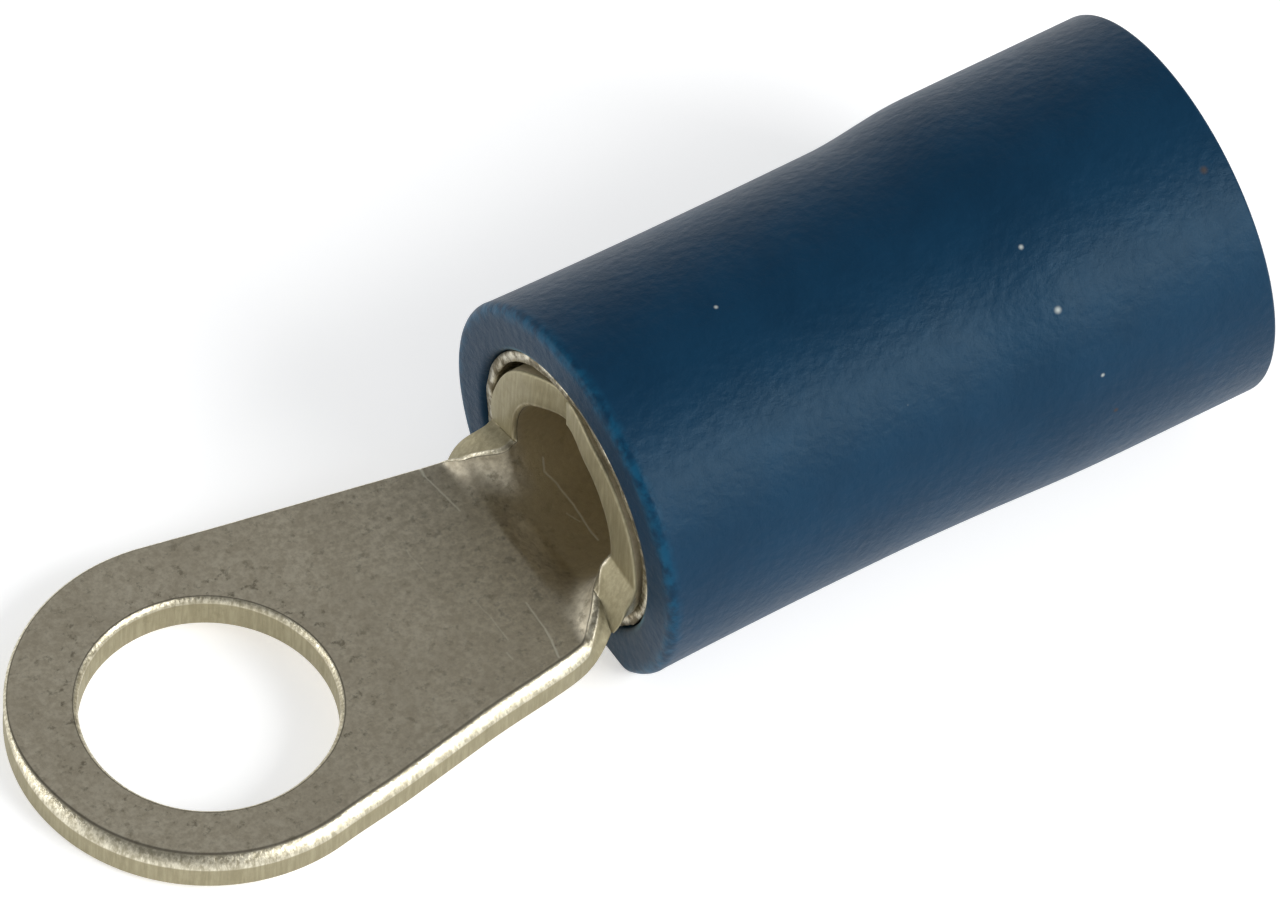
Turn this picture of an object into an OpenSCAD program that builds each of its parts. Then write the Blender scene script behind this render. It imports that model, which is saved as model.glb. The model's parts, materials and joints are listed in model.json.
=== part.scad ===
// Insulated crimp ring terminal for a 16 mm2 stranded wire and an M8 stud.
// Frame: origin at the centre of the stud hole on the tongue's underside, +Z up the stud,
// +X along the wire barrel towards the wire entry.

/* [Ring tongue] */
// Diameter of the hole for the stud
stud_hole_d = 8.2; // [6.4:0.1:8.8]
// Diameter of the ring round the stud hole
ring_d = 12.8; // [12:0.1:15]
// Thickness of the copper sheet that the whole terminal is pressed from
sheet_t = 1.25; // [1:0.05:1.5]
// Distance from the stud hole to the front end of the wire barrel
tongue_l = 13.1; // [11.5:0.1:18]

/* [Neck] */
// Width of the tongue where it is narrowest, just before the barrel
neck_w = 8.4; // [7.4:0.1:9.2]
// Length over which the flat sheet curls up into the barrel
neck_l = 1.7; // [1.5:0.1:2.4]
// Radius of the inside corner between the tongue's edge and the barrel's front end
neck_r = 1.2; // [0.6:0.1:1.4]
// How far the barrel's underside lies below the tongue's underside
barrel_drop = 0.94; // [0.4:0.02:1.2]

/* [Wire barrel] */
// Diameter of the bore that takes the bared strands
wire_bore_d = 5.8; // [5.2:0.1:6.4]
// Length of the wire barrel
barrel_l = 12; // [9:0.5:14]
// Width of the groove that the butt seam leaves inside the bore
seam_w = 0.6; // [0.3:0.1:1.2]
// Depth of that groove
seam_d = 0.35; // [0.1:0.05:0.6]
// Diameter of the rounded notch at the front end of the seam
notch_d = 2.6; // [1.6:0.1:3.2]
// Depth of the notch along the barrel
notch_depth = 0.6; // [0.2:0.05:0.8]
// How far the notch's middle lies to one side of the seam
notch_side = 0.5; // [0:0.1:0.8]

/* [Support sleeve] */
// Gap between the wire barrel and the metal support sleeve
support_gap = 0.25; // [0.05:0.05:0.4]
// Wall of the metal support sleeve
support_t = 0.35; // [0.2:0.05:0.5]
// How far the support sleeve starts behind the front of the insulation
support_front = 0.1; // [0.1:0.1:1]
// How far the support sleeve ends inside the wire entry
support_rear = 1; // [0.5:0.1:2]

/* [Insulating sleeve] */
// Length of the insulating sleeve
sleeve_l = 22.6; // [20:0.2:28]
// Wall of the insulating sleeve at its front end
sleeve_wall = 1.62; // [1.2:0.02:2]
// Play between the insulating sleeve and the support sleeve
sleeve_fit = 0.05; // [0.02:0.01:0.1]
// How much slimmer the sleeve's waist is than its front end, on the radius
waist_sink = 0.12; // [0:0.02:0.3]
// Distance from the sleeve's front end to its waist
waist_x = 8; // [6:0.5:10]
// How far both sleeves open out towards the wire entry, on the radius
flare_h = 0.28; // [0:0.02:0.5]
// Distance from the sleeve's front end to the start of the flare
flare_x = 11.5; // [10:0.5:13]
// Length of the flare
flare_l = 5; // [3:0.5:6]
// Rounding of the sleeve's outer edge at its front end
front_lip_r = 0.35; // [0.1:0.05:0.6]
// Rounding of the sleeve's outer edge round the wire entry
rear_lip_r = 0.15; // [0.05:0.05:0.6]
// Rounding of the front opening's edge
mouth_r = 0.2; // [0.05:0.05:0.5]

/* [Hidden] */
$fn = 128;

// Ring, tongue and barrel
ring_r = ring_d / 2;
bore_r = wire_bore_d / 2;
barrel_r = bore_r + sheet_t;
bend_r = bore_r + sheet_t / 2;
axis_z = barrel_r - barrel_drop;
bend_x = tongue_l - neck_l;
neck_x = tongue_l - neck_r;
neck_point = [neck_x, neck_w / 2];

// The tongue's straight edge runs from the neck to its tangent point on the ring
edge_turn = atan2(neck_point.y, neck_point.x) + acos(ring_r / norm(neck_point));
edge_point = ring_r * [cos(edge_turn), sin(edge_turn)];

// Sleeves
support_r = barrel_r + support_gap;
socket_r = support_r + support_t + sleeve_fit;
front_r = socket_r + sleeve_wall;
waist_r = front_r - waist_sink;
support_l = sleeve_l - support_front - support_rear;
flare_steps = 12;
waist_steps = 6;
lip_steps = 4;

// Stations along the neck and points across it
neck_steps = 14;
sheet_steps = 20;

// The neck runs this far into its two neighbours, a hair thinner than the sheet
seat_l = 0.2;
seat_t = 0.01;

function ease(q) = q * q * (3 - 2 * q);

function reversed(list) = [for (i = [len(list) - 1 : -1 : 0]) list[i]];

// Half width of the flat blank at x, with the inside corner of the neck
function blank_half(x) =
    x <= neck_x
        ? neck_point.y + (edge_point.y - neck_point.y) * (neck_x - x) / (neck_x - edge_point.x)
        : neck_point.y + neck_r - sqrt(max(0, neck_r * neck_r - (x - neck_x) * (x - neck_x)));

// A point of the sheet, bent to the given curvature: across is measured along its middle,
// side is -1 for the underside and 1 for the upper side
function bent(across, curvature, side) =
    let (turn = across * curvature * 180 / PI, skin = side * (sheet_t / 2 - seat_t))
    (curvature == 0 ? [across, 0] : [sin(turn), 1 - cos(turn)] / curvature)
        + skin * [-sin(turn), cos(turn)];

// One cross-section of the neck, from flat (share 0) to the barrel's own roundness (share 1)
function neck_section(x, share) =
    let (half = blank_half(min(x, tongue_l)) - seat_t, lift = sheet_t / 2 - barrel_drop * share)
    [for (side = [1, -1])
        for (i = [0 : sheet_steps])
            let (p = bent(side * half * (1 - 2 * i / sheet_steps), share / bend_r, side))
            [x, p.x, p.y + lift]];

module along_barrel(x) {
    translate([x, 0, axis_z]) rotate([0, 90, 0]) children();
}

module ring_tongue() {
    linear_extrude(sheet_t) {
        circle(ring_r);
        polygon([
            edge_point - [0, seat_t],
            [bend_x, blank_half(bend_x)],
            [bend_x, -blank_half(bend_x)],
            [edge_point.x, seat_t - edge_point.y],
        ]);
    }
}

module neck() {
    row = 2 * (sheet_steps + 1);
    shares = [for (i = [0 : neck_steps]) sin(90 * i / neck_steps)];
    sections = concat(
        [neck_section(bend_x - seat_l, 0)],
        [for (s = shares) neck_section(bend_x + neck_l * s, ease(s))],
        [neck_section(tongue_l + seat_l, 1)]);
    last = len(sections) - 1;
    walls = [for (i = [0 : last - 1], j = [0 : row - 1])
        let (a = i * row + j, b = i * row + (j + 1) % row)
        each [[a, b + row, b], [a, a + row, b + row]]];
    ends = [for (j = [0 : sheet_steps - 1])
        let (quad = [j, j + 1, row - 2 - j, row - 1 - j])
        each [quad, reversed([for (q = quad) q + last * row])]];
    polyhedron([for (s = sections) each s], concat(walls, ends));
}

module wire_barrel() {
    difference() {
        along_barrel(tongue_l) cylinder(h = barrel_l, r = barrel_r);
        along_barrel(tongue_l - seat_l) cylinder(h = barrel_l + 2 * seat_l, r = bore_r);
        seam_groove();
        seam_notch();
    }
}

// The rolled edges butt at the top of the barrel and leave a narrow groove inside
module seam_groove() {
    along_barrel(tongue_l - seat_l)
        linear_extrude(barrel_l + 2 * seat_l)
            polygon([
                [0, seam_w / 2],
                [-bore_r, seam_w / 2],
                [-bore_r - seam_d, 0],
                [-bore_r, -seam_w / 2],
                [0, -seam_w / 2],
            ]);
}

// The blank's corner is rounded where the seam starts
module seam_notch() {
    translate([tongue_l + notch_depth - notch_d / 2, notch_side, axis_z])
        cylinder(h = 2 * barrel_r, r = notch_d / 2);
}

module terminal() {
    color("tan")
        difference() {
            union() {
                ring_tongue();
                neck();
                wire_barrel();
            }
            translate([0, 0, -1]) cylinder(h = sheet_t + 2, r = stud_hole_d / 2);
        }
}

// Share of the flare reached at distance x from the sleeve's front end
function flare(x) = flare_h * ease(min(1, max(0, (x - flare_x) / flare_l)));

// Points of a flared line at the given radius, from the sleeve's front end to its rear end
function flared_line(radius, from, to) = concat(
    [[radius, from]],
    [for (i = [0 : flare_steps]) let (x = flare_x + flare_l * i / flare_steps) [radius + flare(x), x]],
    [[radius + flare_h, to]]);

module support_sleeve() {
    color("darkkhaki")
        along_barrel(tongue_l)
            rotate_extrude()
                polygon(concat(
                    flared_line(support_r, support_front, support_front + support_l),
                    reversed(flared_line(support_r + support_t, support_front, support_front + support_l))));
}

// The outside falls from the front end to the waist and rises again with the flare
function waist_line() = [for (i = [1 : waist_steps])
    let (x = front_lip_r + (waist_x - front_lip_r) * i / waist_steps, left = 1 - x / waist_x)
    [waist_r + waist_sink * left * left, x]];

// A quarter round of radius r about the point [radius, x], starting at the given turn
function rounded(radius, x, r, from) = [for (i = [0 : lip_steps])
    let (turn = from + 90 * i / lip_steps) [radius, x] + r * [cos(turn), sin(turn)]];

module insulating_sleeve() {
    color("midnightblue")
        along_barrel(tongue_l)
            rotate_extrude()
                polygon(concat(
                    reversed(flared_line(socket_r, mouth_r, sleeve_l)),
                    rounded(socket_r + mouth_r, mouth_r, mouth_r, 180),
                    rounded(front_r - front_lip_r, front_lip_r, front_lip_r, -90),
                    waist_line(),
                    [for (i = [0 : flare_steps])
                        let (x = flare_x + flare_l * i / flare_steps) [waist_r + flare(x), x]],
                    rounded(waist_r + flare_h - rear_lip_r, sleeve_l - rear_lip_r, rear_lip_r, 0)));
}

terminal();
support_sleeve();
insulating_sleeve();
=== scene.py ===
import json
import math

import bmesh
import bpy
import numpy as np
from mathutils import Matrix, Vector


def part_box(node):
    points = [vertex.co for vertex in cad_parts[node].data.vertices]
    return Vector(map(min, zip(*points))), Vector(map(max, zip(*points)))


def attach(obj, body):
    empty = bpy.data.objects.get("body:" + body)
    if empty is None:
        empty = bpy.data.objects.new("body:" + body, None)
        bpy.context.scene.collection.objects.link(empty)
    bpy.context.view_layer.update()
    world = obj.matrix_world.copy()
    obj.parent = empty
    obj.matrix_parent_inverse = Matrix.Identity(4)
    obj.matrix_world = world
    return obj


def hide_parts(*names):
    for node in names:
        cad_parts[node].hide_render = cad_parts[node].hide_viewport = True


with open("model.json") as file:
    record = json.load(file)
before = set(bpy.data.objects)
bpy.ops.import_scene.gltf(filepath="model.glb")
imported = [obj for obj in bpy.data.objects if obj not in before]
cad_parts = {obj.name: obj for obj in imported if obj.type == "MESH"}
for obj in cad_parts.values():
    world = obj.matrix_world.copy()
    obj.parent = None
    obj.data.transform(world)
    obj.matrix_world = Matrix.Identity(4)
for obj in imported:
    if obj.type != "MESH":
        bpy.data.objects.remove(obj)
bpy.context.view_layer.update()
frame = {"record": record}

# ---------------------------------------------------------------- camera
# A long lens looks down on the part from the ring's side. It is rolled a little, because the
# part lies tipped forward on its ring and its frame is the ring's own.
MM = 0.001
scene = bpy.context.scene
scene.view_settings.view_transform = "Standard"

aim = Vector((16.17, 0.29, 2.99)) * MM
azimuth = math.radians(55.5)
elevation = math.radians(52.2)
roll = math.radians(2.9)
toward_camera = Vector((
    -math.cos(elevation) * math.cos(azimuth),
    -math.cos(elevation) * math.sin(azimuth),
    math.sin(elevation),
))
level_right = (-toward_camera).cross(Vector((0, 0, 1))).normalized()
level_up = level_right.cross(-toward_camera)
picture_right = math.cos(roll) * level_right + math.sin(roll) * level_up
picture_up = math.cos(roll) * level_up - math.sin(roll) * level_right

camera_data = bpy.data.cameras.new("camera")
camera_data.lens = 584.4
camera_data.sensor_width = 36
camera = bpy.data.objects.new("camera", camera_data)
camera.matrix_world = Matrix.Translation(aim + toward_camera * 0.656) @ Matrix(
    (picture_right, picture_up, toward_camera)
).transposed().to_4x4()
scene.collection.objects.link(camera)
scene.camera = camera


# ---------------------------------------------------------------- floor and light
# The part lies on a white floor, on the tip of its ring and on the rear edge of its sleeve, so
# the floor is tipped to pass under both. Walls are white and the ceiling is darker.
def node(tree, kind, inputs=None, **settings):
    """A new node of the tree. An input takes a value, or a socket to link from."""
    made = tree.nodes.new(kind)
    for name, value in settings.items():
        setattr(made, name, value)
    for key, value in (inputs or {}).items():
        if isinstance(value, bpy.types.NodeSocket):
            tree.links.new(value, made.inputs[key])
        else:
            made.inputs[key].default_value = value
    return made


def shows_background(tree):
    """1 for rays that see the background: those of the camera, and of gloss and glass."""
    path = node(tree, "ShaderNodeLightPath")
    gloss = node(tree, "ShaderNodeMath", {0: path.outputs["Is Camera Ray"], 1: path.outputs["Is Glossy Ray"]},
                 operation="MAXIMUM")
    return node(tree, "ShaderNodeMath", {0: gloss.outputs[0], 1: path.outputs["Is Transmission Ray"]},
                operation="MAXIMUM").outputs[0]


ring_low, ring_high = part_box("terminal")
sleeve_low, sleeve_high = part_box("insulating_sleeve")
toe = Vector((ring_low.x, 0, 0))
heel = Vector((sleeve_high.x, 0, sleeve_low.z))

floor_mesh = bpy.data.meshes.new("floor")
floor_disc = bmesh.new()
bmesh.ops.create_circle(floor_disc, cap_ends=True, segments=96, radius=3.0)
floor_disc.transform(
    Matrix.Translation((toe + heel) / 2 - Vector((0, 0, 0.00004)))
    @ (heel - toe).to_track_quat("X", "Z").to_matrix().to_4x4()
)
floor_disc.to_mesh(floor_mesh)
floor_disc.free()
floor = bpy.data.objects.new("floor", floor_mesh)
scene.collection.objects.link(floor)

floor_paint = bpy.data.materials.new("floor_paint")
floor_paint.use_nodes = True
tree = floor_paint.node_tree
tree.nodes.clear()
matte = node(tree, "ShaderNodeBsdfDiffuse", {"Color": (0.86, 0.86, 0.86, 1)})
glow = node(tree, "ShaderNodeEmission", {"Color": (1, 1, 1, 1)})
seen = node(tree, "ShaderNodeMath", {0: shows_background(tree), 1: 0.48}, operation="MULTIPLY")
tree.links.new(seen.outputs[0], glow.inputs["Strength"])
lit = node(tree, "ShaderNodeAddShader", {0: matte.outputs[0], 1: glow.outputs[0]})
node(tree, "ShaderNodeOutputMaterial", {"Surface": lit.outputs[0]})
floor_mesh.materials.append(floor_paint)

world = bpy.data.worlds.new("studio")
scene.world = world
world.use_nodes = True
tree = world.node_tree
tree.nodes.clear()
direction = node(tree, "ShaderNodeTexCoord")
height = node(tree, "ShaderNodeSeparateXYZ", {0: direction.outputs["Generated"]})
ceiling = node(tree, "ShaderNodeMapRange", {
    "Value": height.outputs["Z"], "From Min": 0.20, "From Max": 0.62, "To Min": 0.9, "To Max": 0.20,
}, interpolation_type="SMOOTHSTEP")
room = node(tree, "ShaderNodeBackground", {"Color": (1, 1, 1, 1), "Strength": ceiling.outputs[0]})
fill = node(tree, "ShaderNodeBackground", {"Color": (0.96, 0.98, 1, 1), "Strength": 0.42})
chosen = node(tree, "ShaderNodeMixShader", {
    0: shows_background(tree), 1: fill.outputs[0], 2: room.outputs[0]})
node(tree, "ShaderNodeOutputWorld", {"Surface": chosen.outputs[0]})


def softbox(name, toward, distance, size, power):
    """A square area light that looks at the part from the given direction."""
    lamp = bpy.data.lights.new(name, "AREA")
    lamp.size, lamp.energy = size, power
    box = bpy.data.objects.new(name, lamp)
    box.location = aim + toward.normalized() * distance
    box.rotation_euler = toward.to_track_quat("Z", "Y").to_euler()
    box.visible_camera = False
    scene.collection.objects.link(box)


softbox("right_softbox", toward_camera * 0.64 + picture_right * 0.77, 0.5, 0.28, 1.9)
softbox("left_softbox", Vector((-0.80, 0.48, 0.32)), 0.5, 0.20, 0.5)


# ---------------------------------------------------------------- terminal
# One blank of tin-plated copper sheet: a ring with a stud hole, a tapering tongue and a wide tail.
# It is stamped flat, then the tail is rolled into the wire barrel until its edges butt on top.
mounts = {m["name"]: m for m in frame["record"]["mounts"]}
sheet_t = mounts["stud_hole"]["dims"]["length_mm"] * MM
hole_r = mounts["stud_hole"]["dims"]["r_mm"] * MM
bore_r = mounts["wire_barrel"]["dims"]["r_mm"] * MM
ring_r = ring_high.y
barrel_drop = -ring_low.z
barrel_front = sleeve_low.x
barrel_rear = ring_high.x
roll_r = bore_r + sheet_t / 2
axis_z = (ring_low.z + ring_high.z) / 2

neck_half = 4.2 * MM
bend_x = barrel_front - 1.9 * MM
# The seam lies a little to the +Y side of the top
seam_near, seam_far = math.pi * roll_r + 0.30 * MM, math.pi * roll_r - 0.35 * MM
# Where the blank starts to widen from tongue to barrel, and how far out the slanted corners end
slant_x = barrel_front - 0.65 * MM
slant_near, slant_far = 5.5 * MM, 5.0 * MM

# Width of the shoulder that shearing leaves along the upper side of a cut edge
WIDE, THIN, ROUND_HOLE = 0.45 * MM, 0.14 * MM, 0.20 * MM
# The hole is punched a little off the ring's centre
hole_centre = np.array([-0.05, -0.16]) * MM
# The tongue's straight edge is tangent to the ring: this is the direction of its normal
edge_turn = (math.atan2(neck_half, barrel_front - 1.25 * MM)
             + math.acos(ring_r / math.hypot(barrel_front - 1.25 * MM, neck_half)))


def ease(q):
    q = np.clip(q, 0, 1)
    return q * q * (3 - 2 * q)


def shoulder(x, u):
    """Width of the shoulder: broad round the ring and along the tongue's -Y edge, thin elsewhere."""
    fade = 1 - 0.35 * ease((x - 10.4 * MM) / (1.8 * MM)) - 0.65 * ease((x - slant_x) / (0.8 * MM))
    return THIN + (WIDE - THIN) * fade * ease((3.2 * MM - u) / (5 * MM))


def face_half(x, side):
    """Half width of the blank's flat face at x, inside the shoulder, on the side +1 or -1."""
    edge = ring_r - shoulder(x, side * neck_half)
    straight = (edge - x * math.cos(edge_turn)) / math.sin(edge_turn)
    start = slant_x - 0.8 * MM * (side > 0)
    past = np.maximum(0, x - start) / (barrel_front + THIN - start)
    return straight + past * ((slant_far if side > 0 else slant_near) - neck_half + THIN)


def drift(x, u):
    """The tongue was blanked slightly to one side of the barrel."""
    where = ease((x - 1 * MM) / (3 * MM)) * (1 - ease((x - 10.5 * MM) / (1.5 * MM)))
    near = ease((x - 7 * MM) / (4 * MM)) * (1 - ease((x - slant_x) / (0.8 * MM)))
    near = near * np.clip(-u / neck_half, 0, 1)
    return where * (-0.065 * MM + 0.035 * np.clip(u / 4, -MM, MM)) - 0.16 * MM * near


def barrel_start(u):
    """Where the barrel's front end lies: both corners of the blank are rounded back at the seam."""
    far = 0.32 * MM * ease((u - 8.6 * MM) / (seam_far - 8.6 * MM))
    return barrel_front + THIN + far + 0.2 * MM * ease((-u - 9.6 * MM) / (seam_near - 9.6 * MM))


def rolled(x, u):
    """Blank to barrel: points on the middle of the sheet and the sheet's upward normal."""
    share = ease((x - bend_x - 0.2 * MM) / (barrel_front - bend_x - 0.35 * MM))
    # The press lifts the outer edges first, so they curl up ahead of the middle
    early = ease((x - bend_x) / (0.55 * MM)) * (1 - ease((x - bend_x - 0.55 * MM) / (1.3 * MM)))
    early = early * np.where(u > 0, 0.62, 0.35)
    places, weights = np.polynomial.legendre.leggauss(12)
    y, z = np.zeros_like(u), np.zeros_like(u)
    for place, weight in zip((places + 1) / 2, weights / 2):
        v = u * place
        turn = share * v / roll_r + early * np.sign(v) * np.minimum(1.3, np.abs(v / neck_half)) ** 4
        y = y + weight * u * np.cos(turn)
        z = z + weight * u * np.sin(turn)
    turn = share * u / roll_r + early * np.sign(u) * np.minimum(1.3, np.abs(u / neck_half)) ** 4
    middle = np.stack([x, y, z + sheet_t / 2 - barrel_drop * share], -1)
    return middle, np.stack([np.zeros_like(turn), -np.sin(turn), np.cos(turn)], -1)


def swell(x, u):
    """Extra thickness inside and outside, where the press upset the metal round the barrel's front end."""
    front = np.exp(-((x - barrel_front) / (0.5 * MM)) ** 2)
    inside = 0.20 * MM * front * ease((-u - 3.2 * MM) / (1.8 * MM)) * ease((10.9 * MM + u) / (4 * MM))
    outside = 0.25 * MM * np.exp(-((x - barrel_front + 0.2 * MM) / (0.6 * MM)) ** 2) * (
        np.exp(-((u - 5.2 * MM) / (0.9 * MM)) ** 2) + 1.5 * np.exp(-((u + 4.4 * MM) / (1.0 * MM)) ** 2))
    return inside, outside


def wavy(length, step, seed):
    """Smooth random values from -1 to 1 along a closed line of the given length."""
    knots = max(4, int(length[-1] / step))
    values = np.random.RandomState(seed).uniform(-1, 1, knots)
    place = length / length[-1] * knots
    low = np.floor(place).astype(int)
    part = ease(place - low)
    return values[low % knots] * (1 - part) + values[(low + 1) % knots] * part


def blank_mesh():
    """The flat blank as points (x, u) and quads: ring and tongue, neck, and barrel."""
    across = np.linspace(0, 1, 61)

    def row_across(x):
        left, right = -face_half(np.array(x), -1), face_half(np.array(x), 1)
        return np.stack([np.full(len(across), x), left + (right - left) * across], -1)

    closing = row_across(bend_x)
    straight_x = np.linspace(bend_x, ring_r * math.cos(edge_turn), 90)[1:-1]
    far_edge = np.stack([straight_x, face_half(straight_x, 1)], -1)
    near_edge = np.stack([straight_x, -face_half(straight_x, -1)], -1)
    angles = np.linspace(edge_turn, 2 * math.pi - edge_turn, 260)
    round_end = np.stack([np.cos(angles), np.sin(angles)], -1)
    round_end *= (ring_r - shoulder(ring_r * round_end[:, 0], ring_r * round_end[:, 1]))[:, None]
    outer = np.concatenate([closing, far_edge, round_end, near_edge[::-1]])
    spoke = outer - hole_centre
    inner = hole_centre + spoke / np.linalg.norm(spoke, axis=1, keepdims=True) * (hole_r + ROUND_HOLE)
    radial = np.sin(np.linspace(-math.pi / 2, math.pi / 2, 25)) / 2 + 0.5
    points = [inner * (1 - s) + outer * s for s in radial]
    columns = len(outer)
    rings = len(radial) - 1
    quads = [(r * columns + c, (r + 1) * columns + c,
              (r + 1) * columns + (c + 1) % columns, r * columns + (c + 1) % columns)
             for r in range(rings) for c in range(columns)]

    def grow(row, new_points):
        """One more row of quads behind a row of point numbers; returns the new row."""
        start = sum(len(p) for p in points)
        points.append(new_points)
        new_row = list(range(start, start + len(new_points)))
        quads.extend(zip(row[:-1], new_row[:-1], new_row[1:], row[1:]))
        return new_row

    row = list(range(rings * columns, rings * columns + len(across)))
    for s in np.linspace(0, 1, 35)[1:]:
        row = grow(row, row_across(bend_x + (barrel_front + THIN - bend_x) * s))

    front_x = np.array(barrel_front + THIN)
    near = -np.linspace(face_half(front_x, -1), seam_near - THIN, 42)[:0:-1]
    far = np.linspace(face_half(front_x, 1), seam_far - THIN, 46)[1:]
    left, right = (np.stack([barrel_start(u), u], -1) for u in (near, far))
    start = sum(len(p) for p in points)
    middle = points[-1]
    points.extend([left, right])
    row = (list(range(start, start + len(left))) + row
           + list(range(start + len(left), start + len(left) + len(right))))
    first = np.concatenate([left, middle, right])
    for s in np.linspace(0, 1, 33)[1:] ** 1.3:
        row = grow(row, first + np.stack([(barrel_rear - THIN - first[:, 0]) * s, 0 * first[:, 0]], -1))
    blank = np.concatenate(points)
    blank[:, 1] += drift(blank[:, 0], blank[:, 1])
    return blank, quads


def cut_edges(quads):
    """The closed loops of point numbers round the blank and round the stud hole."""
    used = set()
    for quad in quads:
        used.update((quad[i], quad[(i + 1) % 4]) for i in range(4))
    following = {a: b for a, b in used if (b, a) not in used}
    loops = []
    while following:
        first, b = following.popitem()
        loop = [first]
        while b in following:
            loop.append(b)
            b = following.pop(b)
        loops.append(loop)
    return sorted(loops, key=len)


def build_terminal():
    """The blank bent to shape, given its two faces and its sheared edges."""
    blank, quads = blank_mesh()
    middle, up = rolled(blank[:, 0], blank[:, 1])
    inside, outside = (skin[:, None] for skin in swell(blank[:, 0], blank[:, 1]))
    count = len(blank)
    upper, lower = middle + up * (sheet_t / 2 + inside), middle - up * (sheet_t / 2 + outside)
    vertices = [upper, lower]
    faces = list(quads) + [tuple(count + i for i in quad[::-1]) for quad in quads]
    # 0 on the sheet's faces, up to 1 down the shoulder, up to 2 down the smooth part of the cut
    cut = [np.zeros(count), np.full(count, 3.0)]
    total = 2 * count
    for number, loop in enumerate(cut_edges(quads)):
        loop = np.array(loop)
        flat = blank[loop]
        before, after = np.roll(flat, 1, 0), np.roll(flat, -1, 0)
        sides = [(b - a) / np.linalg.norm(b - a, axis=1, keepdims=True)
                 for a, b in ((before, flat), (flat, after))]
        out = np.stack([sides[0][:, 1] + sides[1][:, 1], -sides[0][:, 0] - sides[1][:, 0]], -1)
        out *= 2 / np.maximum(1.4, (out ** 2).sum(1, keepdims=True))
        tiny = 1e-6
        slope = (rolled(flat[:, 0] + tiny, flat[:, 1])[0] - middle[loop]) / tiny
        sideways = (rolled(flat[:, 0], flat[:, 1] + tiny)[0] - middle[loop]) / tiny
        slope /= np.linalg.norm(slope, axis=1, keepdims=True)
        outward = slope * out[:, :1] + sideways * out[:, 1:]
        length = np.concatenate([[0], np.cumsum(np.linalg.norm(after - flat, axis=1))])
        jag = (0.6 * wavy(length, 0.9 * MM, 3 + number) + 0.4 * wavy(length, 0.35 * MM, 8 + number))[:-1]
        drag = wavy(length, 0.5 * MM, 14 + number)[:-1]
        width = np.full(len(loop), ROUND_HOLE) if number == 0 else shoulder(flat[:, 0], flat[:, 1])
        fall = width * 0.9
        under = 0.08 * MM
        wall = sheet_t + (inside + outside)[loop, 0] - fall - under
        rows = []
        # A dull rolled-over rim, then a steep broken shoulder, then the smooth lower part of the cut
        for part, down in ((0.12, 0.02), (0.25, 0.06), (0.38, 0.13), (0.5, 0.23), (0.62, 0.35), (0.74, 0.5),
                           (0.85, 0.67), (0.93, 0.83), (1.0, 1.0)):
            rough = jag * (1 - part)
            rows.append((width * (part + 0.35 * rough * part), fall * down * (1 + 0.5 * rough)))
        for share in (0.35, 0.7, 1.0):
            rows.append((width + 0.012 * MM * drag * math.sin(math.pi * share), fall + wall * share))
        for q in np.radians((30, 60, 90)):
            rows.append((width - under * (1 - math.cos(q)), fall + wall + under * math.sin(q)))
        previous = loop
        for sideward, down in rows:
            place = upper[loop] + outward * np.reshape(sideward, (-1, 1))
            place = place - up[loop] * np.reshape(down, (-1, 1))
            vertices.append(place)
            cut.append(np.clip(down / fall, 0, 1) + np.clip((down - fall) / (wall + under), 0, 1))
            current = total + np.arange(len(loop))
            total += len(loop)
            faces.extend(zip(previous, current, np.roll(current, -1), np.roll(previous, -1)))
            previous = current
        current = loop + count
        faces.extend(zip(previous, current, np.roll(current, -1), np.roll(previous, -1)))
    mesh = bpy.data.meshes.new("rolled_terminal")
    mesh.from_pydata(np.concatenate(vertices).tolist(), [], [tuple(int(i) for i in face) for face in faces])
    cut_edge = mesh.attributes.new("cut_edge", "FLOAT", "POINT")
    cut_edge.data.foreach_set("value", np.concatenate(cut).astype(np.float32))
    mesh.shade_smooth()
    piece = bpy.data.objects.new("rolled_terminal", mesh)
    scene.collection.objects.link(piece)
    return piece


terminal = build_terminal()


def new_group(name, inputs, outputs):
    """An empty shader node group with named sockets; returns it with its input and output nodes."""
    group = bpy.data.node_groups.new(name, "ShaderNodeTree")
    for socket_name, kind, value in inputs:
        socket = group.interface.new_socket(socket_name, in_out="INPUT", socket_type="NodeSocket" + kind)
        socket.default_value = value
    for socket_name, kind in outputs:
        group.interface.new_socket(socket_name, in_out="OUTPUT", socket_type="NodeSocket" + kind)
    return group, group.nodes.new("NodeGroupInput").outputs, group.nodes.new("NodeGroupOutput").inputs


def mottle_group():
    """Cloudy spots: a noise, cut between two levels."""
    group, given, result = new_group(
        "mottle",
        [("Position", "Vector", (0, 0, 0)), ("Scale", "Float", 1.0), ("Detail", "Float", 4.0),
         ("Low", "Float", 0.4), ("High", "Float", 0.6)],
        [("Mask", "Float")])
    noise = node(group, "ShaderNodeTexNoise", {
        "Vector": given["Position"], "Scale": given["Scale"], "Detail": given["Detail"], "Roughness": 0.65})
    mask = node(group, "ShaderNodeMapRange", {
        "Value": noise.outputs["Fac"], "From Min": given["Low"], "From Max": given["High"]},
        interpolation_type="SMOOTHSTEP")
    group.links.new(mask.outputs[0], result["Mask"])
    return group


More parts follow.
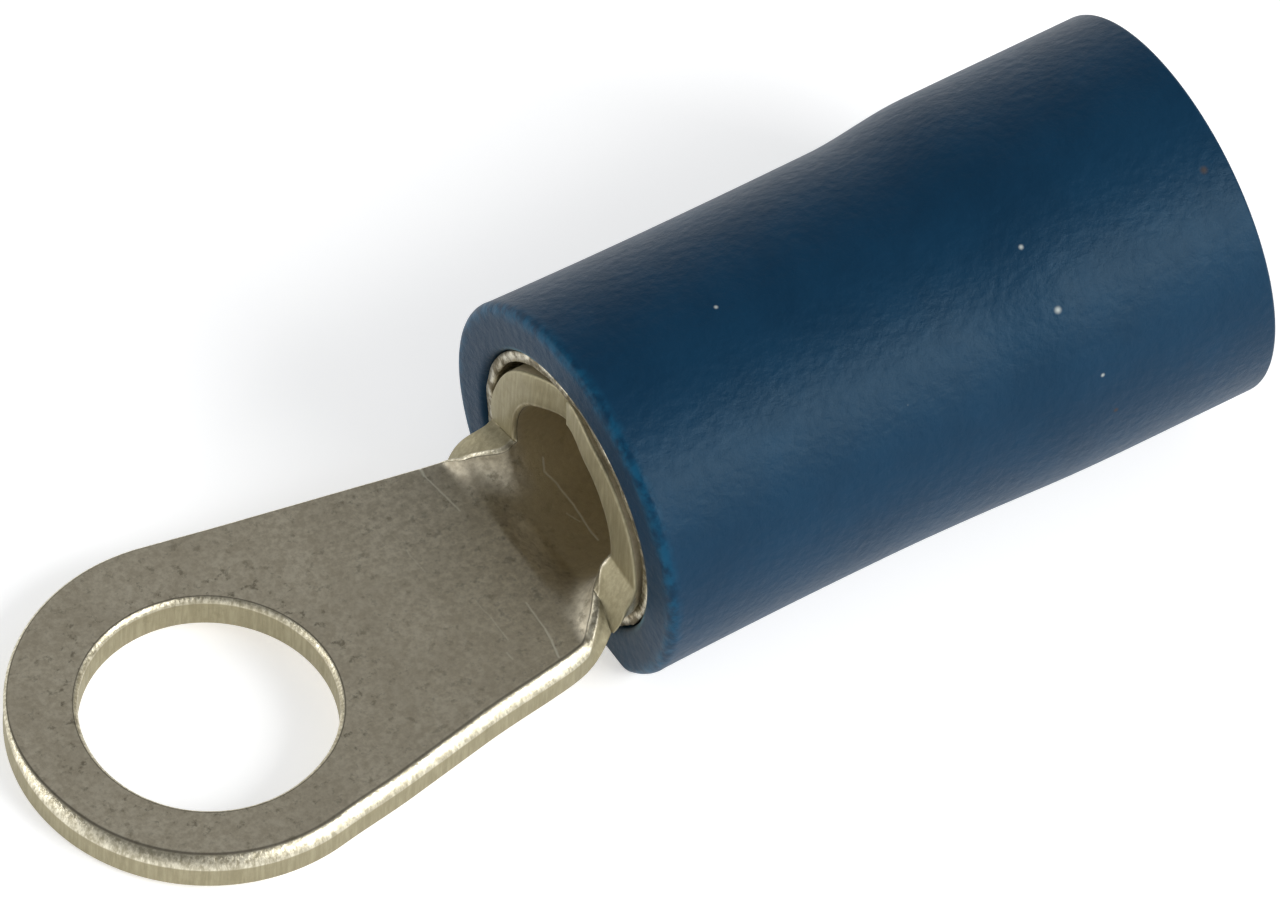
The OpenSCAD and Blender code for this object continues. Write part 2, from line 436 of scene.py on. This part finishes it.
def scratch_group():
    """A straight scratch between two points, seen from above."""
    group, given, result = new_group(
        "scratch",
        [("Position", "Vector", (0, 0, 0)), ("Start", "Vector", (0, 0, 0)), ("End", "Vector", (1, 0, 0)),
         ("Width", "Float", 0.06)],
        [("Mask", "Float")])
    flat = node(group, "ShaderNodeVectorMath", {0: given["Position"], 1: (1, 1, 0)}, operation="MULTIPLY")
    reach = node(group, "ShaderNodeVectorMath", {0: flat.outputs[0], 1: given["Start"]}, operation="SUBTRACT")
    whole = node(group, "ShaderNodeVectorMath", {0: given["End"], 1: given["Start"]}, operation="SUBTRACT")
    along = node(group, "ShaderNodeVectorMath", {0: reach.outputs[0], 1: whole.outputs[0]},
                 operation="DOT_PRODUCT")
    square = node(group, "ShaderNodeVectorMath", {0: whole.outputs[0], 1: whole.outputs[0]},
                  operation="DOT_PRODUCT")
    share = node(group, "ShaderNodeMath", {0: along.outputs["Value"], 1: square.outputs["Value"]},
                 operation="DIVIDE", use_clamp=True)
    foot = node(group, "ShaderNodeVectorMath", {0: whole.outputs[0]}, operation="SCALE")
    group.links.new(share.outputs[0], foot.inputs["Scale"])
    off = node(group, "ShaderNodeVectorMath", {0: reach.outputs[0], 1: foot.outputs[0]}, operation="DISTANCE")
    mask = node(group, "ShaderNodeMapRange", {
        "Value": off.outputs["Value"], "From Min": given["Width"], "From Max": 0.0},
        interpolation_type="SMOOTHSTEP")
    group.links.new(mask.outputs[0], result["Mask"])
    return group


mottle = mottle_group()
scratch = scratch_group()


def use(tree, group, **inputs):
    """The first output of a shader node group placed in a material."""
    placed = node(tree, "ShaderNodeGroup", node_tree=group)
    for name, value in inputs.items():
        if isinstance(value, bpy.types.NodeSocket):
            tree.links.new(value, placed.inputs[name])
        else:
            placed.inputs[name].default_value = value
    return placed.outputs[0]


def mixed(tree, share, first, second):
    """Two colours mixed by a mask."""
    mix = node(tree, "ShaderNodeMix", data_type="RGBA")
    for socket, value in ((mix.inputs[0], share), (mix.inputs[6], first), (mix.inputs[7], second)):
        if isinstance(value, bpy.types.NodeSocket):
            tree.links.new(value, socket)
        else:
            socket.default_value = value
    return mix.outputs[2]


def maths(tree, operation, first, second, third=0.0):
    """The result of one sum, held between 0 and 1."""
    made = node(tree, "ShaderNodeMath", {0: first, 1: second, 2: third}, operation=operation, use_clamp=True)
    return made.outputs[0]


def millimetres(tree, scale=(1, 1, 1)):
    """Object coordinates in millimetres, stretched as given."""
    place = node(tree, "ShaderNodeTexCoord")
    return node(tree, "ShaderNodeMapping", {
        "Vector": place.outputs["Object"], "Scale": [1000 * s for s in scale]}).outputs[0]


def levels(tree, value, low, high):
    """A value turned into a soft mask: 0 at low, 1 at high."""
    return node(tree, "ShaderNodeMapRange", {"Value": value, "From Min": low, "From Max": high},
                interpolation_type="SMOOTHSTEP").outputs[0]


def tinned_copper():
    """Tin plate: dull and speckled on the faces, bare along the sheared edges."""
    material = bpy.data.materials.new("tinned_copper")
    material.use_nodes = True
    tree = material.node_tree
    skin = tree.nodes["Principled BSDF"]
    skin.inputs["Metallic"].default_value = 1.0
    place = millimetres(tree)
    apart = node(tree, "ShaderNodeSeparateXYZ", {0: place})
    along, upward = apart.outputs["X"], apart.outputs["Z"]

    # Dull tin in fine cloudy speckle, stained darker round the hole and in loose patches
    fine = use(tree, mottle, Position=place, Scale=4.5, Detail=6.0, Low=0.30, High=0.72)
    colour = mixed(tree, fine, (0.50, 0.45, 0.345, 1), (0.76, 0.705, 0.565, 1))
    broad = use(tree, mottle, Position=place, Scale=0.55, Detail=4.0, Low=0.35, High=0.68)
    colour = mixed(tree, maths(tree, "MULTIPLY", broad, 0.35), colour, (0.46, 0.41, 0.31, 1))
    radius = node(tree, "ShaderNodeVectorMath", {0: place, 1: (1, 1, 0)}, operation="MULTIPLY")
    radius = node(tree, "ShaderNodeVectorMath", {0: radius.outputs[0]}, operation="LENGTH").outputs["Value"]
    pepper = use(tree, mottle, Position=place, Scale=2.4, Detail=8.0, Low=0.54, High=0.66)
    round_hole = maths(tree, "MULTIPLY_ADD", levels(tree, radius, 6.0, 4.2), 0.35, 0.40)
    dark = maths(tree, "MULTIPLY", pepper, round_hole)
    colour = mixed(tree, dark, colour, (0.13, 0.115, 0.08, 1))

    # Olive tone mixed in deep in the trough and all through the bore
    depth = maths(tree, "MULTIPLY", levels(tree, along, 11.9, 13.4), levels(tree, upward, 1.5, 0.8))
    bore = maths(tree, "MAXIMUM", depth, levels(tree, along, 12.9, 13.6))
    colour = mixed(tree, maths(tree, "MULTIPLY", bore, 0.7), colour, (0.60, 0.51, 0.31, 1))

    # Down a cut edge: painted shade along the rolled-over rim, a bright broken shoulder, then a smooth matt
    # band
    cut = node(tree, "ShaderNodeAttribute", attribute_name="cut_edge").outputs["Fac"]
    upright = millimetres(tree, (8, 8, 0.7))
    drawn = use(tree, mottle, Position=upright, Scale=1.0, Detail=4.0, Low=0.35, High=0.7)
    # Painted shade: a near-black line along the top of the rolled-over rim, where it turns away from the
    # light
    painted_rim_shade = maths(tree, "MULTIPLY", levels(tree, cut, 0.004, 0.03), levels(tree, cut, 0.14, 0.05))
    colour = mixed(tree, maths(tree, "MULTIPLY", painted_rim_shade, 0.75), colour, (0.10, 0.09, 0.065, 1))
    broken = maths(tree, "MULTIPLY", levels(tree, cut, 0.05, 0.13), levels(tree, cut, 1.06, 0.96))
    bright = mixed(tree, drawn, (0.42, 0.38, 0.27, 1), (0.84, 0.79, 0.63, 1))
    colour = mixed(tree, broken, colour, bright)
    smooth = maths(tree, "MULTIPLY", levels(tree, cut, 0.98, 1.06), levels(tree, cut, 2.6, 2.1))
    band = mixed(tree, drawn, (0.33, 0.295, 0.19, 1), (0.42, 0.38, 0.255, 1))
    colour = mixed(tree, smooth, colour, band)

    # Scratches and forming marks, shaken a little so that none is quite straight
    marks = [
        ((10.55, 4.33), (10.51, 4.03), 0.09, 1.0), ((10.51, 4.03), (10.75, 2.26), 0.055, 0.8),
        ((8.49, 1.8), (8.45, 1.54), 0.05, 0.5), ((8.45, 1.54), (8.52, 0.76), 0.04, 0.4),
        ((9.26, -1.02), (9.34, -1.85), 0.035, 0.35), ((9.34, -1.85), (9.34, -2.86), 0.045, 0.5),
        ((10.6, -1.91), (10.57, -3.09), 0.055, 0.85), ((10.57, -3.09), (10.36, -4.26), 0.065, 1.0),
        ((9.04, -3.28), (9.08, -3.58), 0.05, 0.6), ((13.94, 2.43), (13.83, 2.18), 0.06, 0.8),
        ((13.83, 2.18), (14.07, 1.83), 0.06, 0.8), ((14.07, 1.83), (14.29, 1.08), 0.06, 0.9),
        ((14.29, 1.08), (14.28, -0.38), 0.06, 1.0), ((13.92, 0.96), (14.16, 0.51), 0.04, 0.6),
    ]
    wobble = node(tree, "ShaderNodeTexNoise", {"Vector": place, "Scale": 1.6, "Detail": 3.0})
    wobble = node(tree, "ShaderNodeVectorMath", {0: wobble.outputs["Color"], 1: (0.5, 0.5, 0.5)},
                  operation="SUBTRACT")
    shaken = node(tree, "ShaderNodeVectorMath", {0: wobble.outputs[0], 1: (0.10, 0.10, 0.10), 2: place},
                  operation="MULTIPLY_ADD").outputs[0]
    scored = 0.0
    for start, end, width, strength in marks:
        mask = use(tree, scratch, Position=shaken, Start=(*start, 0), End=(*end, 0), Width=width)
        scored = maths(tree, "MAXIMUM", maths(tree, "MULTIPLY", mask, strength), scored)
    colour = mixed(tree, scored, colour, (0.86, 0.83, 0.70, 1))
    tree.links.new(colour, skin.inputs["Base Color"])

    rough = maths(tree, "MULTIPLY_ADD", fine, -0.08, 0.60)
    rough = maths(tree, "MULTIPLY_ADD", broken, -0.22, rough)
    tree.links.new(maths(tree, "MULTIPLY_ADD", dark, 0.2, rough), skin.inputs["Roughness"])

    grain = node(tree, "ShaderNodeTexNoise", {"Vector": place, "Scale": 9.0, "Detail": 6.0, "Roughness": 0.7})
    height = maths(tree, "MULTIPLY_ADD", scored, -0.6, grain.outputs["Fac"])
    height = maths(tree, "MULTIPLY_ADD", maths(tree, "MULTIPLY", drawn, broken), 0.6, height)
    bump = node(tree, "ShaderNodeBump", {"Strength": 0.5, "Distance": 0.00002, "Height": height})
    tree.links.new(bump.outputs[0], skin.inputs["Normal"])
    return material


terminal.data.materials.append(tinned_copper())
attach(terminal, "root")
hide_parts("terminal")


# ---------------------------------------------------------------- support sleeve
# A thin tinned metal tube round the wire barrel, which grips the wire's insulation behind it.
# Its front end is sheared roughly and shows as a second ring inside the plastic.
def lathe_tree():
    """Turns the profile held by the object's own mesh about the barrel's axis: radius in X, distance in Y."""
    tree = bpy.data.node_groups.new("turned_sleeve", "GeometryNodeTree")
    sockets = {}
    for name, kind in (("Profile", "Geometry"), ("Facets", "Int"), ("Core Radius", "Float"),
                       ("Front", "Float"), ("Axis Height", "Float"), ("Skin", "Material")):
        socket = tree.interface.new_socket(name, in_out="INPUT", socket_type="NodeSocket" + kind)
        sockets[name] = socket.identifier
    tree.interface.new_socket("Sleeve", in_out="OUTPUT", socket_type="NodeSocketGeometry")
    given = tree.nodes.new("NodeGroupInput").outputs
    profile = node(tree, "GeometryNodeMeshToCurve", {"Mesh": given["Profile"]})
    core = node(tree, "GeometryNodeCurvePrimitiveCircle", {
        "Resolution": given["Facets"], "Radius": given["Core Radius"]}, mode="RADIUS")
    turned = node(tree, "GeometryNodeCurveToMesh", {
        "Curve": core.outputs["Curve"], "Profile Curve": profile.outputs["Curve"]})
    seat = node(tree, "ShaderNodeCombineXYZ", {"X": given["Front"], "Z": given["Axis Height"]})
    laid = node(tree, "GeometryNodeTransform", {
        "Geometry": turned.outputs["Mesh"], "Translation": seat.outputs[0], "Rotation": (0, -math.pi / 2, 0)})
    real = node(tree, "GeometryNodeRealizeInstances", {"Geometry": laid.outputs["Geometry"]})
    skinned = node(tree, "GeometryNodeSetMaterial", {
        "Geometry": real.outputs["Geometry"], "Material": given["Skin"]})
    node(tree, "NodeGroupOutput", {"Sleeve": skinned.outputs["Geometry"]})
    return tree, sockets


turned_sleeve, sleeve_sockets = lathe_tree()


def turned_piece(name, profile, facets, front, material):
    """A closed ring of the given (radius, distance) profile, turned about the barrel's axis."""
    core_r = min(radius for radius, _ in profile)
    outline = bpy.data.meshes.new(name + "_profile")
    outline.from_pydata([(radius - core_r, distance, 0) for radius, distance in profile],
                        [(i, (i + 1) % len(profile)) for i in range(len(profile))], [])
    source = bpy.data.objects.new(name + "_profile", outline)
    scene.collection.objects.link(source)
    lathe = source.modifiers.new("lathe", "NODES")
    lathe.node_group = turned_sleeve
    for socket, value in (("Facets", facets), ("Core Radius", core_r), ("Front", front),
                          ("Axis Height", axis_z), ("Skin", material)):
        lathe[sleeve_sockets[socket]] = value
    depsgraph = bpy.context.evaluated_depsgraph_get()
    mesh = bpy.data.meshes.new_from_object(source.evaluated_get(depsgraph), depsgraph=depsgraph)
    bpy.data.objects.remove(source)
    shell = bmesh.new()
    shell.from_mesh(mesh)
    bmesh.ops.recalc_face_normals(shell, faces=shell.faces)
    shell.to_mesh(mesh)
    shell.free()
    mesh.shade_smooth()
    piece = bpy.data.objects.new(name, mesh)
    scene.collection.objects.link(piece)
    return piece


def round_the_axis(mesh):
    """A mesh's points as x, radius, and turn from the bottom (0) by +Y to the top (pi)."""
    points = np.empty(len(mesh.vertices) * 3)
    mesh.vertices.foreach_get("co", points)
    points = points.reshape(-1, 3)
    radius = np.hypot(points[:, 1], points[:, 2] - axis_z)
    return points[:, 0], radius, np.arctan2(points[:, 1], axis_z - points[:, 2])


def set_round_the_axis(mesh, x, radius, turn):
    points = np.stack([x, radius * np.sin(turn), axis_z - radius * np.cos(turn)], -1)
    mesh.vertices.foreach_set("co", points.ravel())
    mesh.update()


def mark(mesh, name, values):
    mesh.attributes.new(name, "FLOAT", "POINT").data.foreach_set("value", np.asarray(values, np.float32))


support_low, support_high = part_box("support_sleeve")
grip_r = mounts["wire_entry"]["dims"]["r_mm"] * MM
support_t = support_high.y - grip_r
flare_h = sleeve_high.y - 6.30 * MM
support_r = grip_r - flare_h
flare_start = barrel_front + 11.5 * MM
flare_end = flare_start + 5.0 * MM


def flared(x):
    return flare_h * ease((x - flare_start) / (flare_end - flare_start))


def sleeve_metal():
    """Tinned metal gone brown in patches."""
    material = bpy.data.materials.new("sleeve_metal")
    material.use_nodes = True
    tree = material.node_tree
    skin = tree.nodes["Principled BSDF"]
    skin.inputs["Metallic"].default_value = 1.0
    place = millimetres(tree)
    patches = use(tree, mottle, Position=place, Scale=2.6, Detail=6.0, Low=0.4, High=0.6)
    colour = mixed(tree, patches, (0.20, 0.17, 0.11, 1), (0.66, 0.62, 0.50, 1))
    tree.links.new(colour, skin.inputs["Base Color"])
    tree.links.new(maths(tree, "MULTIPLY_ADD", patches, -0.2, 0.55), skin.inputs["Roughness"])
    grain = node(tree, "ShaderNodeTexNoise", {"Vector": place, "Scale": 7.0, "Detail": 5.0, "Roughness": 0.7})
    bump = node(tree, "ShaderNodeBump", {
        "Strength": 0.5, "Distance": 0.00003, "Height": grain.outputs["Fac"]})
    tree.links.new(bump.outputs[0], skin.inputs["Normal"])
    return material


def support_profile():
    length = support_high.x - support_low.x
    distances = np.concatenate([np.linspace(0, 1.2 * MM, 9), np.linspace(2 * MM, length, 34)])
    lift = flared(support_low.x + distances)
    inner = [(support_r + rise, d) for rise, d in zip(lift, distances)]
    outer = [(support_r + support_t + rise, d) for rise, d in zip(lift, distances)]
    return inner + outer[::-1]


support = turned_piece("support_tube", support_profile(), 360, support_low.x, sleeve_metal())
x, radius, turn = round_the_axis(support.data)
lap = np.append(np.linspace(0, 1, 721), 1.0)
around = (turn / (2 * math.pi)) % 1
ragged = np.interp(around, lap[:-1], 0.7 * wavy(lap[:-1] * 30 * MM + 1e-9, 1.4 * MM, 21)
                   + 0.3 * wavy(lap[:-1] * 30 * MM + 1e-9, 0.4 * MM, 22))
near_front = ease(1 - (x - support_low.x) / (1.2 * MM))
x = x + near_front * (0.5 + 0.5 * ragged) * 0.16 * MM
set_round_the_axis(support.data, x, radius - near_front * (ragged > 0.4) * 0.03 * MM, turn)
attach(support, "root")
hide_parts("support_sleeve")


# ---------------------------------------------------------------- insulating sleeve
# Soft blue vinyl moulded over the support sleeve: slimmer at the waist, opened out towards the
# wire entry, with a fine leathery skin, rounded lips and a little flash round the front opening.
socket_r = support_r + support_t + 0.05 * MM
rear_r = sleeve_high.y
waist_r = rear_r - flare_h
front_r = waist_r + 0.12 * MM
waist_end = barrel_front + 8 * MM
# Roundings of the front edge, of the rear edge and of the front opening
LIP, REAR_LIP, MOUTH = 0.32 * MM, 0.12 * MM, 0.25 * MM


# Rounding of the wire entry
BELL = 0.3 * MM


def sleeve_profile():
    """The sleeve's closed outline, round from the socket by the wire entry to the front opening."""
    length = sleeve_high.x - sleeve_low.x
    inside = np.linspace(MOUTH, length - BELL, 60)
    inner = [(socket_r + flared(barrel_front + d), d) for d in inside]
    bell = [(socket_r + flare_h + BELL * (1 - math.cos(q)), length - BELL * (1 - math.sin(q)))
            for q in np.radians((20, 40, 60, 90))]
    rear = [(rear_r - REAR_LIP + REAR_LIP * math.sin(q), length - REAR_LIP + REAR_LIP * math.cos(q))
            for q in np.radians(range(0, 91, 15))]
    outside = np.linspace(length - REAR_LIP, LIP, 110)[1:-1]
    outer = []
    for d in outside:
        belly = 0.12 * MM * max(0.0, 1 - d / (waist_end - barrel_front)) ** 2
        outer.append((waist_r + belly + flared(barrel_front + d), d))
    front = [(front_r - LIP + LIP * math.cos(q), LIP - LIP * math.sin(q))
             for q in np.radians(range(0, 91, 15))]
    face = [(socket_r + MOUTH + s * (front_r - LIP - socket_r - MOUTH), 0) for s in (0.8, 0.6, 0.4, 0.2, 0)]
    mouth = [(socket_r + MOUTH * (1 - math.sin(q)), MOUTH * (1 - math.cos(q))) for q in np.radians((30, 60))]
    return inner + bell + rear + outer + front + face + mouth


def speck_group():
    """A round speck of given size at one place."""
    group, given, result = new_group(
        "speck", [("Position", "Vector", (0, 0, 0)), ("Centre", "Vector", (0, 0, 0)), ("Size", "Float", 0.1)],
        [("Mask", "Float")])
    off = node(group, "ShaderNodeVectorMath", {0: given["Position"], 1: given["Centre"]},
               operation="DISTANCE")
    mask = node(group, "ShaderNodeMapRange", {
        "Value": off.outputs["Value"], "From Min": given["Size"], "From Max": 0.0},
        interpolation_type="SMOOTHSTEP")
    group.links.new(mask.outputs[0], result["Mask"])
    return group


speck = speck_group()


def blue_vinyl():
    """Dark blue vinyl with a fine leathery skin."""
    material = bpy.data.materials.new("blue_vinyl")
    material.use_nodes = True
    tree = material.node_tree
    skin = tree.nodes["Principled BSDF"]
    skin.inputs["Specular IOR Level"].default_value = 0.22
    skin.inputs["Specular Tint"].default_value = (0.62, 0.86, 1.0, 1)
    place = millimetres(tree)
    cloud = use(tree, mottle, Position=place, Scale=0.35, Detail=4.0, Low=0.3, High=0.7)
    colour = mixed(tree, cloud, (0.0022, 0.027, 0.064, 1), (0.0032, 0.033, 0.076, 1))
    # Painted highlight: lighter teal on the rounded front edge, broken into patches
    lip_highlight_painted = node(tree, "ShaderNodeAttribute", attribute_name="lip").outputs["Fac"]
    patchy = use(tree, mottle, Position=place, Scale=2.2, Detail=6.0, Low=0.35, High=0.65)
    colour = mixed(tree, maths(tree, "MULTIPLY", lip_highlight_painted, patchy), colour, (0.006, 0.085, 0.17, 1))
    flash = node(tree, "ShaderNodeAttribute", attribute_name="flash").outputs["Fac"]
    colour = mixed(tree, flash, colour, (0.10, 0.28, 0.36, 1))
    # Dust and small flecks caught in the skin: pale ones, then brown ones
    pale = [((18.37, -0.31, 9.52), 0.10), ((28.1, -2.92, 9.08), 0.12), ((28.36, -4.77, 7.73), 0.17),
            ((29.25, -6.21, 5.40), 0.10), ((22.6, -5.1, 7.0), 0.07), ((33.2, -5.6, 6.3), 0.07)]
    brown = [((29.62, -6.55, 3.74), 0.13), ((34.79, -3.22, 8.99), 0.20)]
    for flecks, tint in ((pale, (0.45, 0.48, 0.46, 1)), (brown, (0.05, 0.035, 0.03, 1))):
        for centre, size in flecks:
            fleck = use(tree, speck, Position=place, Centre=centre, Size=size)
            colour = mixed(tree, fleck, colour, tint)
    tree.links.new(colour, skin.inputs["Base Color"])

    grain = node(tree, "ShaderNodeTexNoise", {
        "Vector": place, "Scale": 2.6, "Detail": 6.0, "Roughness": 0.62})
    pores = node(tree, "ShaderNodeTexVoronoi", {"Vector": place, "Scale": 2.8, "Smoothness": 0.6},
                 feature="SMOOTH_F1")
    height = maths(tree, "MULTIPLY_ADD", pores.outputs["Distance"], 0.35, grain.outputs["Fac"])
    bump = node(tree, "ShaderNodeBump", {"Strength": 0.6, "Distance": 0.00006, "Height": height})
    tree.links.new(bump.outputs[0], skin.inputs["Normal"])
    tree.links.new(maths(tree, "MULTIPLY_ADD", grain.outputs["Fac"], 0.16, 0.36), skin.inputs["Roughness"])
    return material


sleeve = turned_piece("vinyl_sleeve", sleeve_profile(), 320, sleeve_low.x, blue_vinyl())
x, radius, turn = round_the_axis(sleeve.data)
# The flare is a short step on top and a long slope underneath
top = ease(0.5 - 0.5 * np.cos(turn) - 0.05)
step_x = (x - flare_start) / (flare_end - flare_start)
steep = flare_h * 1.15 * ease((step_x - 0.18) / 0.72)
gentle = flare_h * 0.86 * ease((step_x + 0.55) / 1.85)
outside = ease((radius - socket_r - flared(x)) / (waist_r - socket_r))
radius = radius + outside * (top * steep + (1 - top) * gentle - flared(x))
set_round_the_axis(sleeve.data, x, radius, turn)
# Painted highlight on the rounded front edge, broken into patches, and bits of flash at two places round the
# opening
outer_edge = ease((radius - front_r + 0.6 * MM) / (0.5 * MM))
mark(sleeve.data, "lip", ease(1 - (x - barrel_front) / (0.5 * MM)) * outer_edge)
opening_edge = ease((socket_r + MOUTH - radius) / (0.2 * MM))
bits = np.exp(-((turn - 2.6) / 0.25) ** 2) + np.exp(-((turn + 1.25) / 0.15) ** 2)
mark(sleeve.data, "flash", ease(1 - (x - barrel_front) / (0.4 * MM)) * opening_edge * bits)
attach(sleeve, "root")
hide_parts("insulating_sleeve")
